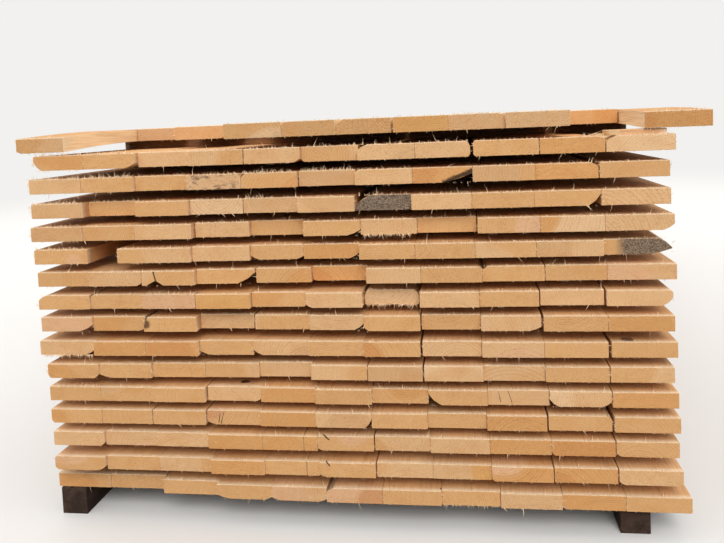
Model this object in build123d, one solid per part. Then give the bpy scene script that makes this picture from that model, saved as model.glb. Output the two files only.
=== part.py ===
from build123d import *
import os
import random

# A stickered stack of rough-sawn softwood boards, in millimetres.
# +Z is up, the boards run along +Y, and the board ends that face -Y are the front of the stack.
# Courses and laths are numbered from the bottom, boards from the left as seen from the front.

# Boards
board_length = 3000.0
board_width = 99.0
board_thickness = 26.0
wide_board_width = 136.0
boards_per_course = 11
course_count = 16
joint_gap = 0.5
width_scatter = 0.6
end_scatter = 4.0
rear_scatter = 14.0

# Laths between the courses
lath_width = 40.0
thin_lath = 15.2
usual_lath = 16.0
medium_lath = 18.5
thick_lath = 20.5
lath_lines = 4
lath_overhang = 345.0
lath_end_inset = 12.0
lath_end_scatter = 7.0

# Runners on the ground under the outer boards, and the cross bearers between the runners
runner_width = 49.0
runner_height = 50.0
left_runner_inset = 7.0
right_runner_inset = 34.0
runner_end_inset = 25.0
cross_bearer_width = 49.0

# Wane: the log's own surface where it takes a corner off a board, running out along the edge.
# The run, and the rear ends' share, width and rise (as a part of the thickness), vary by board.
wane_run = 900.0
wane_run_range = (0.6, 1.8)
wane_bulge = 0.16
edge_reserve = 0.75
rear_wane_share = 0.25
rear_wane_across = (6.0, 18.0)
rear_wane_rise = (0.2, 0.5)

# Other marks of the wood and of its handling
split_width = 1.0
split_depth = 260.0
notch_depth = 34.0
offcut_length = 96.0
offcut_depth = 42.0
offcut_thickness = 9.0
offcut_front_inset = 6.0
offcut_right_inset = 14.0

# Levels with laths that aren't the usual thickness
thin_levels = (8, 10, 11)
medium_levels = (7, 13, 15)
thick_levels = (1, 2)

# How far each course stands to the right of the first upright line of board edges
course_shift = {
    1: -4, 2: 8, 3: 9, 4: 7, 5: 7, 6: 6, 7: -9, 8: -1, 9: -2, 10: -1, 11: -4, 12: -8, 13: -5,
    14: -6, 15: 5, 16: -25,
}

# Gaps wider than the usual joint, at the left of the board named: {course: {board: gap}}
open_gaps = {
    1: {3: 2.5},
    2: {7: 2.0, 10: 2.0, 11: 2.0},
    3: {7: 2.0, 11: 2.0},
    4: {3: 2.0, 4: 2.2, 10: 3.0, 11: 3.6},
    5: {4: 2.0, 11: 1.6},
    6: {7: 1.8, 8: 3.0, 11: 2.0},
    7: {8: 3.8, 11: 5.6},
    8: {5: 3.8, 8: 2.2, 10: 4.0},
    9: {4: 2.0, 7: 2.0, 8: 2.8, 10: 2.6, 11: 3.2},
    10: {5: 1.8, 10: 1.6},
    11: {2: 57.0},
    12: {4: 1.8, 9: 1.8},
    14: {6: 1.6, 11: 2.0},
    15: {5: 1.8, 9: 5.0, 10: 1.8, 11: 1.8},
    16: {2: 2.0, 3: 32.0, 4: 62.0, 7: 5.0, 10: 10.0, 11: 2.5},
}

# How far a board's front end stands back from the foremost ends: {course: {board: distance}}
set_back = {
    1: {1: 28, 2: 29, 3: 12, 8: 3},
    2: {2: 7, 3: 6, 7: 5, 8: 3},
    3: {2: 4, 3: 5, 7: 6, 9: 2},
    4: {2: 3, 4: 5, 8: 6, 10: 5},
    5: {4: 9, 5: 4, 7: 9, 9: 6},
    6: {2: 5, 3: 12, 4: 12, 5: 17, 9: 5},
    7: {1: 4, 4: 9, 5: 9, 6: 5, 8: 6},
    8: {2: 6, 4: 22, 5: 13, 6: 8, 8: 9, 9: 3},
    9: {2: 5, 5: 9, 7: 22, 10: 9},
    10: {4: 11, 5: 16, 6: 27, 9: 8, 10: 8, 11: 8},
    11: {3: 9, 4: 14, 5: 16, 10: 12},
    12: {4: 19, 5: 31, 6: 6, 7: 14, 8: 20},
    13: {2: 22, 4: 9, 5: 14, 7: 12},
    14: {3: 10, 6: 12},
    15: {3: 15, 6: 10},
    16: {2: 300, 3: 190, 6: 6, 8: 9, 10: 195},
}

# Boards of the top course aren't held down, so two front ends droop past the first lath
droop = {(16, 1): 12.0, (16, 11): 8.5}

# Boards towards the right of the stack run a little wider: {board: extra width}
right_side_extra = {7: -2, 8: 1, 9: 3, 10: 4, 11: 5}

# Boards that differ from that by 3 mm or more: {course: {board: extra width}}
extra_width = {
    1: {1: 5, 2: 9, 3: 6, 4: 3, 7: 5},
    2: {2: 3, 11: -3},
    3: {11: -4},
    4: {2: -3, 9: -3},
    5: {10: -3},
    6: {5: -3, 7: -3, 11: -3},
    7: {1: 8},
    8: {6: -3, 9: -3},
    9: {7: -3, 9: -4},
    10: {4: 7, 7: -4, 8: 3, 10: -4, 11: 5},
    11: {1: 4, 3: 6, 4: -4, 6: -3, 7: 3, 9: 5, 10: 6},
    12: {3: 6, 11: 4},
    13: {4: -3, 10: 3, 11: 4},
    14: {10: -3, 11: 5},
    15: {1: -3, 2: -3, 8: -8, 9: 4, 11: 3},
    16: {1: -8, 3: 4, 4: 3, 5: -6, 6: -4, 7: -6, 8: -6},
}
wide_board = (11, 2)
courses_of_ten = (11,)

# Wane at the front end: {(course, board): ((corner, across the end, up or down the side), ...)}
wane = {
    (1, 4): (("lower left", 24, 7), ("lower right", 14, 6)),
    (1, 5): (("lower left", 14, 5), ("lower right", 15, 5)),
    (1, 6): (("upper left", 12, 7),),
    (1, 10): (("lower left", 5, 6),),
    (2, 1): (("lower left", 7, 6), ("lower right", 15, 8), ("upper left", 3, 5)),
    (2, 6): (("lower left", 10, 5),),
    (2, 9): (("lower left", 5, 4),),
    (2, 11): (("lower left", 9, 5),),
    (3, 1): (("lower right", 7, 6),),
    (3, 6): (("lower left", 8, 4),),
    (3, 10): (("lower left", 5, 5),),
    (3, 11): (("lower left", 9, 5),),
    (4, 1): (("lower left", 5, 6),),
    (4, 4): (("lower left", 17, 6),),
    (4, 6): (("lower right", 12, 15), ("lower left", 4, 3)),
    (4, 10): (("upper right", 9, 7),),
    (5, 4): (("lower right", 9, 5),),
    (5, 8): (("lower left", 22, 20),),
    (5, 10): (("lower left", 14, 12), ("lower right", 15, 9)),
    (6, 1): (("lower left", 5, 7), ("lower right", 9, 8)),
    (6, 2): (("lower left", 24, 6),),
    (7, 1): (("lower right", 19, 10),),
    (7, 4): (("lower left", 19, 7),),
    (7, 5): (("lower left", 16, 10),),
    (8, 1): (("lower right", 25, 12),),
    (8, 2): (("lower right", 11, 5),),
    (8, 3): (("upper left", 8, 16),),
    (8, 6): (("lower right", 17, 12),),
    (8, 7): (("lower left", 9, 7),),
    (8, 9): (("lower right", 20, 7),),
    (9, 1): (("upper left", 15, 9),),
    (9, 2): (("upper left", 8, 4),),
    (9, 5): (("lower right", 5, 4),),
    (9, 6): (("lower left", 11, 6),),
    (9, 7): (("upper left", 5, 9), ("upper right", 9, 9)),
    (9, 11): (("lower right", 17, 13), ("upper right", 5, 4)),
    (10, 2): (("lower right", 9, 5),),
    (10, 4): (("lower right", 32, 20),),
    (10, 6): (("lower left", 6, 4),),
    (10, 8): (("upper right", 8, 6),),
    (10, 9): (("upper left", 9, 7),),
    (11, 4): (("lower left", 15, 7), ("lower right", 13, 6)),
    (11, 5): (("lower right", 18, 11),),
    (11, 10): (("upper right", 21, 15), ("lower right", 40, 9)),
    (12, 6): (("lower right", 23, 9),),
    (12, 11): (("lower right", 18, 10),),
    (13, 7): (("upper left", 28, 17),),
    (13, 10): (("lower right", 20, 20),),
    (14, 5): (("upper left", 9, 8),),
    (14, 7): (("upper left", 6, 5),),
    (14, 8): (("lower right", 50, 15),),
    (14, 10): (("upper right", 13, 6),),
    (15, 1): (("lower left", 14, 15),),
    (15, 2): (("lower right", 19, 8),),
    (15, 5): (("lower right", 12, 7),),
    (15, 6): (("lower left", 5, 4),),
    (15, 7): (("upper left", 16, 9),),
    (15, 8): (("upper right", 6, 9), ("lower right", 4, 5)),
    (15, 9): (("upper left", 3, 5), ("lower left", 3, 4)),
    (15, 10): (("upper right", 16, 6),),
    (15, 11): (("upper left", 18, 10),),
    (16, 3): (("lower right", 9, 5),),
    (16, 5): (("upper left", 9, 9),),
    (16, 6): (("upper left", 15, 13),),
    (16, 8): (("upper right", 10, 15),),
}

# Ends split along the grain, and a bark pocket fallen out of a lower edge, by distance from the left
splits = {(2, 5): 75.0, (3, 5): 74.0}
notches = {(10, 3): (6.0, 36.0, 9.0)}

pick = random.Random(11)


def course_base(course):
    """Height of the underside of a course above the ground."""
    levels = range(1, course)
    laths = sum(lath_thickness(level) for level in levels)
    return runner_height + laths + (course - 1) * board_thickness


def lath_thickness(level):
    """Thickness of the laths that lie on this course."""
    if level in thick_levels:
        return thick_lath
    if level in medium_levels:
        return medium_lath
    if level in thin_levels:
        return thin_lath
    return usual_lath


def lath_positions():
    """Front edges of the lines of laths, evenly spaced between the two overhangs."""
    span = board_length - 2 * lath_overhang - lath_width
    return [lath_overhang + span * line / (lath_lines - 1) for line in range(lath_lines)]


def block(left, front, bottom, width, length, height):
    """A box given by its left, front, bottom corner."""
    return Pos(left, front, bottom) * Box(width, length, height, align=(Align.MIN, Align.MIN, Align.MIN))


def drooping_block(left, front, bottom, width, length, height, drop):
    """A board that is straight over its laths and curves down by drop in front of the first one."""
    reach = lath_overhang - front
    radius = (reach ** 2 + drop ** 2) / (2 * drop)
    middle = drop - (radius - (radius ** 2 - (reach / 2) ** 2) ** 0.5)
    profile = [
        Line((reach, 0), (length, 0)),
        Line((length, 0), (length, height)),
        Line((length, height), (reach, height)),
        ThreePointArc((reach, height), (reach / 2, height - drop + middle), (0, height - drop)),
        Line((0, height - drop), (0, -drop)),
        ThreePointArc((0, -drop), (reach / 2, -drop + middle), (reach, 0)),
    ]
    side = Plane(origin=(left, front, bottom), x_dir=(0, 1, 0), z_dir=(1, 0, 0))
    return extrude(side * make_face(Curve() + profile), amount=width)


def cut_wane(board, corner, edge_x, edge_z, front, across, rise, run, end=1):
    """Takes the corner off with two planes that follow the log's round surface and run out
    along the edge. edge_x, edge_z is the corner, and end is 1 for a front end, -1 for a rear one."""
    side = 1 if "left" in corner else -1
    turn = 1 if "lower" in corner else -1
    start = Vector(edge_x + side * across, front, edge_z)
    stop = Vector(edge_x, front, edge_z + turn * rise)
    swell = Vector(edge_x, front, edge_z) - (start + stop) * 0.5
    crown = (start + stop) * 0.5 + swell * wane_bulge
    runout = Vector(edge_x, front + end * run, edge_z)
    inside = Vector(edge_x + side * board_width / 2, front, edge_z + turn * board_thickness / 2)
    for first, second in ((start, crown), (crown, stop)):
        normal = (second - first).cross(runout - first).normalized()
        if normal.dot(inside - first) < 0:
            normal = normal * -1
        board = board.split(Plane(origin=first, z_dir=normal), keep=Keep.TOP)
    return board


def make_board(course, board, left, width):
    """One board with its droop, wane, split and notch."""
    bottom = course_base(course)
    front = set_back.get(course, {}).get(board, 0) + pick.uniform(0, end_scatter)
    rear = board_length + pick.uniform(0, rear_scatter)
    front_drop = droop.get((course, board), 0)
    if front_drop:
        solid = drooping_block(left, front, bottom, width, rear - front, board_thickness, front_drop)
    else:
        solid = block(left, front, bottom, width, rear - front, board_thickness)

    for corner, across, rise in wane.get((course, board), ()):
        edge_x = left if "left" in corner else left + width
        edge_z = bottom if "lower" in corner else bottom + board_thickness
        rise = min(rise, edge_reserve * board_thickness)
        run = wane_run * pick.uniform(*wane_run_range)
        solid = cut_wane(solid, corner, edge_x, edge_z, front, across, rise, run)

    if pick.random() < rear_wane_share:
        corner = pick.choice(("lower left", "lower right", "upper left", "upper right"))
        edge_x = left if "left" in corner else left + width
        edge_z = bottom if "lower" in corner else bottom + board_thickness
        across = pick.uniform(*rear_wane_across)
        rise = pick.uniform(*rear_wane_rise) * board_thickness
        solid = cut_wane(solid, corner, edge_x, edge_z, rear, across, rise, wane_run, end=-1)

    if (course, board) in splits:
        at = left + splits[(course, board)]
        solid -= block(at, front - 1, bottom - 1, split_width, split_depth + 1, board_thickness + 2)
    if (course, board) in notches:
        start, span, rise = notches[(course, board)]
        peak = (start + span * 0.55, rise)
        outline = make_face(Polyline((start, -1), peak, (start + span, -1), close=True))
        mouth = Plane(origin=(left, front - 1, bottom), x_dir=(1, 0, 0), z_dir=(0, -1, 0))
        solid -= extrude(mouth * outline, amount=-(notch_depth + 1))
    return solid


def make_course(course):
    """All the boards of a course, side by side from the left."""
    count = boards_per_course - 1 if course in courses_of_ten else boards_per_course
    edge = course_shift[course]
    boards = []
    for board in range(1, count + 1):
        if board > 1:
            edge += max(joint_gap, open_gaps.get(course, {}).get(board, 0))
        width = board_width - pick.uniform(0, width_scatter)
        width += right_side_extra.get(board, 0) + extra_width.get(course, {}).get(board, 0)
        if (course, board) == wide_board:
            width = wide_board_width
        boards.append(make_board(course, board, edge, width))
        edge += width
    return boards


def stack_width():
    """Width of a full course, before what single boards add."""
    places = range(1, boards_per_course + 1)
    boards = sum(board_width + right_side_extra.get(board, 0) for board in places)
    return boards + (boards_per_course - 1) * joint_gap


def make_lath_line(position):
    """The laths above one another at one place along the stack, one on each course but the top."""
    laths = []
    for level in range(1, course_count):
        left = course_shift[level] + lath_end_inset + pick.uniform(0, lath_end_scatter)
        right = course_shift[level] + stack_width() - pick.uniform(0, lath_end_scatter)
        bottom = course_base(level) + board_thickness
        laths.append(block(left, position, bottom, right - left, lath_width, lath_thickness(level)))
    return laths


def runner_lefts():
    """Left faces of the two runners."""
    edge = course_shift[1]
    return edge + left_runner_inset, edge + stack_width() - right_runner_inset - runner_width


def make_runner(left):
    """A square timber on the ground, lengthwise under the outer boards."""
    length = board_length - 2 * runner_end_inset
    return block(left, runner_end_inset, 0, runner_width, length, runner_height)


def make_cross_bearer(position):
    """A timber on the ground between the two runners, under a line of laths."""
    left_runner, right_runner = runner_lefts()
    left = left_runner + runner_width
    front = position + (lath_width - cross_bearer_width) / 2
    return block(left, front, 0, right_runner - left, cross_bearer_width, runner_height)


def make_offcut():
    """The thin piece of lath caught under the last board of the top course, broken at its left."""
    bottom = course_base(course_count - 1) + board_thickness
    right = course_shift[course_count - 1] + stack_width() - offcut_right_inset
    left = right - offcut_length
    outline = make_face(Polyline(
        (left, offcut_depth * 0.55), (left + 9, offcut_depth * 0.2), (left + 24, 0), (right, 0),
        (right, offcut_depth), (left + 30, offcut_depth), (left + 12, offcut_depth * 0.8), close=True))
    return extrude(Pos(0, offcut_front_inset, bottom) * outline, amount=offcut_thickness)


def make_nodes():
    """Every node's solids, by the node's name."""
    nodes = {}
    left_runner, right_runner = runner_lefts()
    nodes["runner_left"] = [make_runner(left_runner)]
    nodes["runner_right"] = [make_runner(right_runner)]
    for course in range(1, course_count + 1):
        nodes["board_course_%02d" % course] = make_course(course)
    for line, position in enumerate(lath_positions(), start=1):
        nodes["cross_bearer_%d" % line] = [make_cross_bearer(position)]
        nodes["lath_line_%d" % line] = make_lath_line(position)
    nodes["lath_offcut"] = [make_offcut()]
    return nodes


def main():
    """Writes each node with the origin at the middle of the stack's footprint, on the ground."""
    nodes = make_nodes()
    boxes = [solid.bounding_box() for solids in nodes.values() for solid in solids]
    middle_x = (min(box.min.X for box in boxes) + max(box.max.X for box in boxes)) / 2
    middle_y = (min(box.min.Y for box in boxes) + max(box.max.Y for box in boxes)) / 2
    print("first upright line at x = %.2f, foremost plane at y = %.2f" % (-middle_x, -middle_y))
    os.makedirs("parts", exist_ok=True)
    for name, solids in nodes.items():
        moved = [Pos(-middle_x, -middle_y, 0) * solid for solid in solids]
        node = moved[0] if len(moved) == 1 else Compound(children=moved)
        export_step(node, "parts/%s.step" % name)


main()
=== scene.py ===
import functools
import math
import random

import bmesh
import bpy
import numpy as np
from mathutils import Matrix, Vector


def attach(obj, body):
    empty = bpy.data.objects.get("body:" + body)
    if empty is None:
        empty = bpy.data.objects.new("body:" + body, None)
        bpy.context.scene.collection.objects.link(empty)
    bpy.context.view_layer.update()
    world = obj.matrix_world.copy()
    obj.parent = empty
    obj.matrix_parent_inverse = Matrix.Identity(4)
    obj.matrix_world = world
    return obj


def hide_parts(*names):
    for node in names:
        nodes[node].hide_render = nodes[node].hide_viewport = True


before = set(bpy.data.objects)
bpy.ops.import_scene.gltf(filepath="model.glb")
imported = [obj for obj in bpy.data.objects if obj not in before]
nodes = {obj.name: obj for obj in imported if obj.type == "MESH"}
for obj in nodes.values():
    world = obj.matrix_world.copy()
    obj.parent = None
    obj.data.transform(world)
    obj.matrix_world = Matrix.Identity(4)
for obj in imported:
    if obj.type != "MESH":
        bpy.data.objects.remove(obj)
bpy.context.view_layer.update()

# A stickered stack of rough-sawn softwood boards. Metres, +Z up, the boards run along Y and their
# front ends face -Y. Courses and laths are numbered from the bottom, boards from the left.

MM = 0.001
courses = sorted(name for name in nodes if name.startswith("board_course_"))
lath_lines = sorted(name for name in nodes if name.startswith("lath_line_"))
bearers = sorted(name for name in nodes if name.startswith("cross_bearer_"))
runners = ["runner_left", "runner_right"]


def linear(code):
    """Turns an sRGB hex colour into the linear values that the shader takes."""
    channels = [int(code[i:i + 2], 16) / 255 for i in (1, 3, 5)]
    return tuple(c / 12.92 if c <= 0.04045 else ((c + 0.055) / 1.055) ** 2.4 for c in channels) + (1.0,)


# Camera, fitted to the board ends of the photograph
FOCAL_PIXELS = 736.7
FRAME_WIDTH_PIXELS = 724
FRAME_HEIGHT_PIXELS = 543
HORIZON_CENTRE_PIXELS = 176.4
SENSOR_WIDTH = 36
CAMERA_REACH = 200
CAMERA_PLACE = (0.2077, -2.7348, 0.7069)
CAMERA_YAW = -0.14141
CAMERA_PITCH = -0.06803
CAMERA_ROLL = -0.04051

# Floor and light. The floor looks pale but throws back little light, so that the gaps between the
# courses stay dark
WHITE = (1.0, 1.0, 1.0, 1.0)
SURROUND = linear("#F2F1EF")
FLOOR_COLOUR = linear("#E2E0DD")
FLOOR_BOUNCE = linear("#3E3C39")
FLOOR_REACH = 30.0
FLOOR_FADE = (3.0, 8.0)
SKY_STRENGTH = 1.05
KEY_STRENGTH = 1.75
KEY_FROM = (0.2, -1.0, 0.8)
KEY_ANGLE = math.radians(30)

# Patterns: (cells in each metre across the board, along the grain and upwards, octaves, roughness).
# The fibres of real spruce are 0.03 mm wide: streaks, end grain and tears are drawn 1.4 to 4 mm wide,
# so that they show
WOOD_PATTERNS = {
    "bends": ((5, 0.9, 5), 2.0, 0.55), "waves": ((38, 2.5, 38), 2.0, 0.55),
    "clouds": ((22, 3, 40), 3.0, 0.55), "streaks": ((700, 9, 700), 4.0, 0.6),
    "end grain": ((260, 60, 560), 4.0, 0.6), "flecks": ((90, 60, 300), 4.0, 0.7),
    "tears": ((600, 90, 600), 3.0, 0.7), "bast": ((60, 8, 60), 4.0, 0.55),
    "specks": ((520, 40, 760), 2.0, 0.6), "veins": ((48, 20, 95), 5.0, 0.7),
}
TIMBER_PATTERNS = {
    "patches": ((40, 9, 40), 4.0, 0.55), "timber streaks": ((420, 7, 420), 4.0, 0.65),
    "timber cracks": ((150, 3, 150), 3.0, 0.55),
}
SPLINTER_PATTERN = ((90, 90, 90), 2.0, 0.55)
NOISE_MIDDLE = 0.5

# Layers that follow a pattern: (pattern, noise where they begin, noise where they are full, how full)
LAYERS = {
    "clouds": ("clouds", 0.42, 0.75, 0.28), "streaks": ("streaks", 0.45, 0.75, 0.4),
    "end grain": ("end grain", 0.48, 0.75, 0.3), "flecks": ("flecks", 0.56, 0.76, 0.35),
    "bast": ("bast", 0.42, 0.62, 1.0), "brown bark": ("tears", 0.52, 0.68, 1.0),
    "pale specks": ("specks", 0.4, 0.62, 1.0), "veins": ("veins", 0.47, 0.66, 0.85),
    "patches": ("patches", 0.35, 0.65, 1.0), "timber streaks": ("timber streaks", 0.5, 0.75, 0.5),
    "timber cracks": ("timber cracks", 0.62, 0.7, 0.8),
}
SMOOTH = {"interpolation_type": "SMOOTHSTEP"}
FALLING = (1.0, 0.0)

# A Mix node blends colours from its sockets 6 and 7 to its output 2, and numbers from 2 and 3 to 0
COLOURS = {"data_type": "RGBA"}

# Sawn spruce. Its flat long faces are paler than most ends, whose open cells swallow some light
FLAT_FACE = linear("#DFAE79")
CLOUD = linear("#CE8A48")
LATE_WOOD = linear("#9A5826")
FIBRE_SHADE = linear("#A4683A")
PALE_FLECK = linear("#EECB98")
# pale raised fibres, and painted highlight on the upper arrises and the fronts of the long faces
RAISED_FIBRE_AND_HIGHLIGHT = linear("#FFEBCB")
CLEAN_LOG = linear("#F0CC9C")
BAST = linear("#D3A168")
DARK_BARK = linear("#150D09")
BROWN_BARK = linear("#4A3020")
DARK_SPECK = linear("#3B322C")
PALE_SPECK = linear("#94826F")
MARBLED_GROUND = linear("#D6AE84")
MARBLED_VEIN = linear("#654A3D")
KNOT_COLOUR = linear("#4A2A18")
CRACK_COLOUR = linear("#1E110B")

# How far a face has to be turned to count as an end or an upright one
FACING = (0.6, 0.8)

# Share of the long faces' own colour on flat and on upright ones; the rest is the board's tone
FLAT_SHARE = 0.55
UPRIGHT_SHARE = 0.95

# Growth rings: how far the pith bends and the rings wave, and where in a ring the late wood rises
# and ends
PITH_BEND = 40 * MM
RING_WAVE = 5 * MM
LATE_RISE = (0.25, 0.88)
LATE_END = (0.9, 0.99)
FAINTEST_RING = 0.3
HEART_BORDER = 6 * MM
RING_ON_END = 0.3
RING_ON_LONG_FACE = 0.12

# Pale fibres that the saw has raised, together with painted highlight: a rim on the end's upper arris and a
# strip behind the end, partly torn fibres and partly painted light where the arris and the front of each
# long face catch the light that the course above keeps off further in
RIM = (0.2 * MM, 1.6 * MM)
RIM_RAGGED = 4 * MM
STRIP = (2 * MM, 15 * MM)
STRIP_RAGGED = 12 * MM
RAISED_AND_HIGHLIGHT_COVER = 0.5

# Marks
WANE_COVER = 0.9
MARBLED = (0.0, 0.4)
WHOLLY_GREY = (0.8, 0.9)
GREY_COVER = 0.9
MARBLED_COVER = 0.5
WEATHER_BEFORE = 9 * MM
WEATHER_AFTER = 14 * MM
KNOT_EDGE = (0.55, 1.1)
KNOT_RAGGED = 1.1
KNOT_LEAST = 0.45
CRACK_BEND = 1.5 * MM
CRACK_TEAR = 1.8
CRACK_EDGE = (0.4, 1.0)
CRACK_COVER = 0.92

# Relief: the saw leaves a line each 4.2 mm, which is 1500 radians in a metre
SAW_PHASE = 1500.0
SAW_SLANT = 380.0
LONG_FACE_WAVER = 9.0
END_WAVER = 12.0
SAW_HEIGHT = 0.5
FIBRE_HOLLOW = -6.0
LATE_HEIGHT = 0.8
WOOD_RELIEF = 0.25 * MM

# Weathered timber of the bearers, and splinters
TIMBER_DARK = linear("#33261F")
TIMBER_PALE = linear("#4A392F")
TIMBER_STREAK = linear("#2C201A")
TIMBER_CRACK = linear("#17110E")
TIMBER_CRACK_DEPTH = (0.6, 0.7)
TIMBER_STREAK_HOLLOW = -0.5
TIMBER_RELIEF = 0.8 * MM
SPLINTER_PALE = linear("#FFEACB")
SPLINTER_TAN = linear("#F2C893")

# Shape of the copied solids
ARRIS = 0.4 * MM
ARRIS_SEGMENTS = 2
ARRIS_ANGLE = math.radians(30)
MERGE_DISTANCE = 0.002 * MM
FLAT_ANGLE = math.radians(0.4)
COLUMN_STEP = 5 * MM
END_DEPTH = 0.5 * MM
SQUARE_FACE = 0.985

# Tones of an end face, picked from the photograph
TONES = {
    "usual": "#D8A66F", "pale": "#DDB07F", "cream": "#E4BC8E", "yellow": "#DBA565", "orange": "#D59D62",
    "deep": "#CE9258", "pink": "#DEAE83", "red": "#D0986A", "tan": "#D3A676", "dun": "#C9A27A",
}
RANDOM_TONES = ("usual", "usual", "usual", "usual", "pale", "orange", "pink", "tan")
TONE_SPREAD = (0.96, 1.04)

# The courses get a little brighter upwards, painted light for the sky that reaches the upper ones more, but
# the top one, out in the weather, is darker
PAINTED_SKY_LIGHT_LIFT = 0.004
TOP_COURSE_TONE = 0.93

# Boards whose tone stands out: (course, board): (heartwood, sapwood)
TONE_OF = {
    # (16, 2) and (16, 3) stand far back and are toned cooler than their wood, to take back the warm light
    # that the boards below throw on them: painted shade
    (16, 1): ("usual", "pale"), (16, 2): ("dun", "dun"), (16, 3): ("tan", "tan"),
    (16, 4): ("cream", "usual"), (16, 5): ("orange", "usual"), (16, 6): ("orange", "usual"),
    (16, 7): ("orange", "yellow"), (16, 8): ("usual", "pale"), (16, 9): ("pink", "pale"),
    (16, 10): ("usual", "orange"), (16, 11): ("deep", "orange"),
    (15, 1): ("orange", "usual"), (15, 11): ("yellow", "cream"),
    (14, 4): ("tan", "pale"), (14, 5): ("orange", "usual"), (14, 8): ("deep", "orange"),
    (13, 2): ("usual", "usual"), (13, 4): ("pale", "cream"), (13, 5): ("pale", "pale"),
    (13, 7): ("dun", "dun"), (13, 8): ("pink", "pale"),
    (12, 7): ("usual", "pale"), (12, 10): ("orange", "cream"), (11, 2): ("usual", "pale"),
    (10, 5): ("orange", "usual"), (10, 6): ("deep", "orange"),
    (9, 3): ("orange", "pink"), (9, 4): ("yellow", "yellow"), (9, 5): ("orange", "usual"),
    (9, 7): ("cream", "cream"),
    (8, 2): ("orange", "usual"), (8, 3): ("usual", "usual"), (8, 4): ("pink", "pale"),
    (7, 1): ("pale", "pale"), (7, 2): ("deep", "orange"), (7, 3): ("deep", "orange"),
    (7, 7): ("deep", "usual"), (7, 9): ("pink", "pale"),
    (6, 1): ("orange", "usual"), (6, 8): ("pale", "cream"),
    (5, 3): ("orange", "usual"), (5, 4): ("tan", "pale"), (5, 6): ("orange", "usual"),
    (5, 10): ("pale", "cream"), (5, 11): ("orange", "orange"),
    (4, 1): ("orange", "usual"), (4, 2): ("usual", "usual"), (4, 3): ("usual", "usual"),
    (4, 4): ("red", "usual"), (4, 6): ("tan", "pale"), (4, 9): ("red", "orange"),
    (4, 11): ("usual", "usual"),
    (3, 5): ("yellow", "orange"), (3, 9): ("red", "orange"), (3, 10): ("deep", "orange"),
    (2, 4): ("red", "orange"), (2, 6): ("orange", "usual"), (2, 8): ("yellow", "pale"),
    (2, 9): ("pink", "orange"), (2, 10): ("deep", "orange"),
    (1, 1): ("orange", "usual"), (1, 2): ("red", "usual"), (1, 6): ("red", "pink"),
    (1, 7): ("red", "usual"), (1, 9): ("usual", "pale"), (1, 11): ("yellow", "usual"),
}

# Rings of a board that isn't listed below, in mm: the pith's distance from the middle of the end, the
# ring spacing and how far the heartwood reaches beyond the middle. The strength is a share
PITH_DISTANCE = (20, 130)
RING_SPACING = (3.0, 4.6)
HEART_BEYOND = (-60, 70)
RING_STRENGTH = (0.4, 0.9)
LEAST_HEART = 10 * MM
SEED_RANGE = 60

# Pith of the boards whose rings show plainly, from the middle of the end: (right, up, ring spacing), mm
PITH_OF = {
    (14, 5): (70, -50, 5), (13, 4): (5, 30, 4.5), (13, 11): (-60, -50, 7), (12, 10): (-60, 20, 5),
    (12, 11): (-70, -40, 6), (10, 5): (60, -45, 5.5), (10, 6): (-70, -60, 6), (7, 5): (45, -25, 5),
    (7, 7): (-80, -50, 6), (7, 8): (10, -40, 5), (6, 9): (0, -70, 7), (4, 4): (-45, 30, 5),
    (4, 9): (20, -45, 5.5), (3, 3): (-10, -40, 5), (2, 9): (-40, 50, 5), (2, 10): (-60, -55, 5.5),
}
PLAIN_RING_STRENGTH = 0.75
PLAIN_HEART_BEYOND = 5 * MM

# Knots and bark marks: (course, board): (from the left edge, behind the end, above the lower edge,
# radius, darkness), mm
KNOT_OF = {
    (16, 4): (94, 0, 3, 8, 0.15), (10, 9): (4, 11, 26, 9, 0.9), (8, 3): (3, 0, 14, 10, 0.85),
    (7, 11): (28, 16, 26, 13, 0.75), (5, 4): (62, 26, 26, 10, 0.95), (1, 7): (101, 10, 26, 3, 0.95),
}
NO_KNOT = (0, 0, 0, 1, 0)

# Drying cracks and gouges at ends: (course, board): (half the width, one or two lines), mm. A line is
# two points, each from the left edge, behind the end and above the lower edge
CRACKS_OF = {
    (14, 8): (5.5, ((52, 0, 0), (103, 0, 20))),
    (10, 3): (2.0, ((23, 0, 24), (28, 0, 3))),
    (5, 9): (0.7, ((18, 0, 24), (21, 0, 5)), ((34, 0, 24), (40, 0, 4))),
    (4, 4): (0.9, ((31, 0, 22), (25, 0, 2)), ((24, 0, 20), (21, 0, 4))),
    (3, 6): (1.8, ((9, 7, 26), (14, 0, 26)), ((14, 0, 26), (20, 0, 20))),
    (2, 6): (1.8, ((11, 7, 26), (14, 0, 26)), ((14, 0, 26), (18, 0, 21))),
}
NO_CRACK = (1,)
FAR_AWAY = 9.0
NOWHERE = ((0, FAR_AWAY / MM, 0), (0, FAR_AWAY / MM, 0))

# How much dark bark is left where the log's surface shows, which on the lower wane of (5, 8) is painted
# shade as well; the others have little
BARK_AND_SHADE_OF = {(5, 8): 1.0, (14, 8): 1.0, (4, 6): 1.0, (8, 3): 0.9, (10, 3): 0.8, (1, 6): 0.6}
USUAL_BARK = 0.15

# Grey ends: (course, board): (how much of the end, where it starts, mm from the left edge)
GREY_OF = {(13, 7): (1.0, 0), (11, 10): (1.0, 24), (14, 4): (0.4, 0)}

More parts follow.
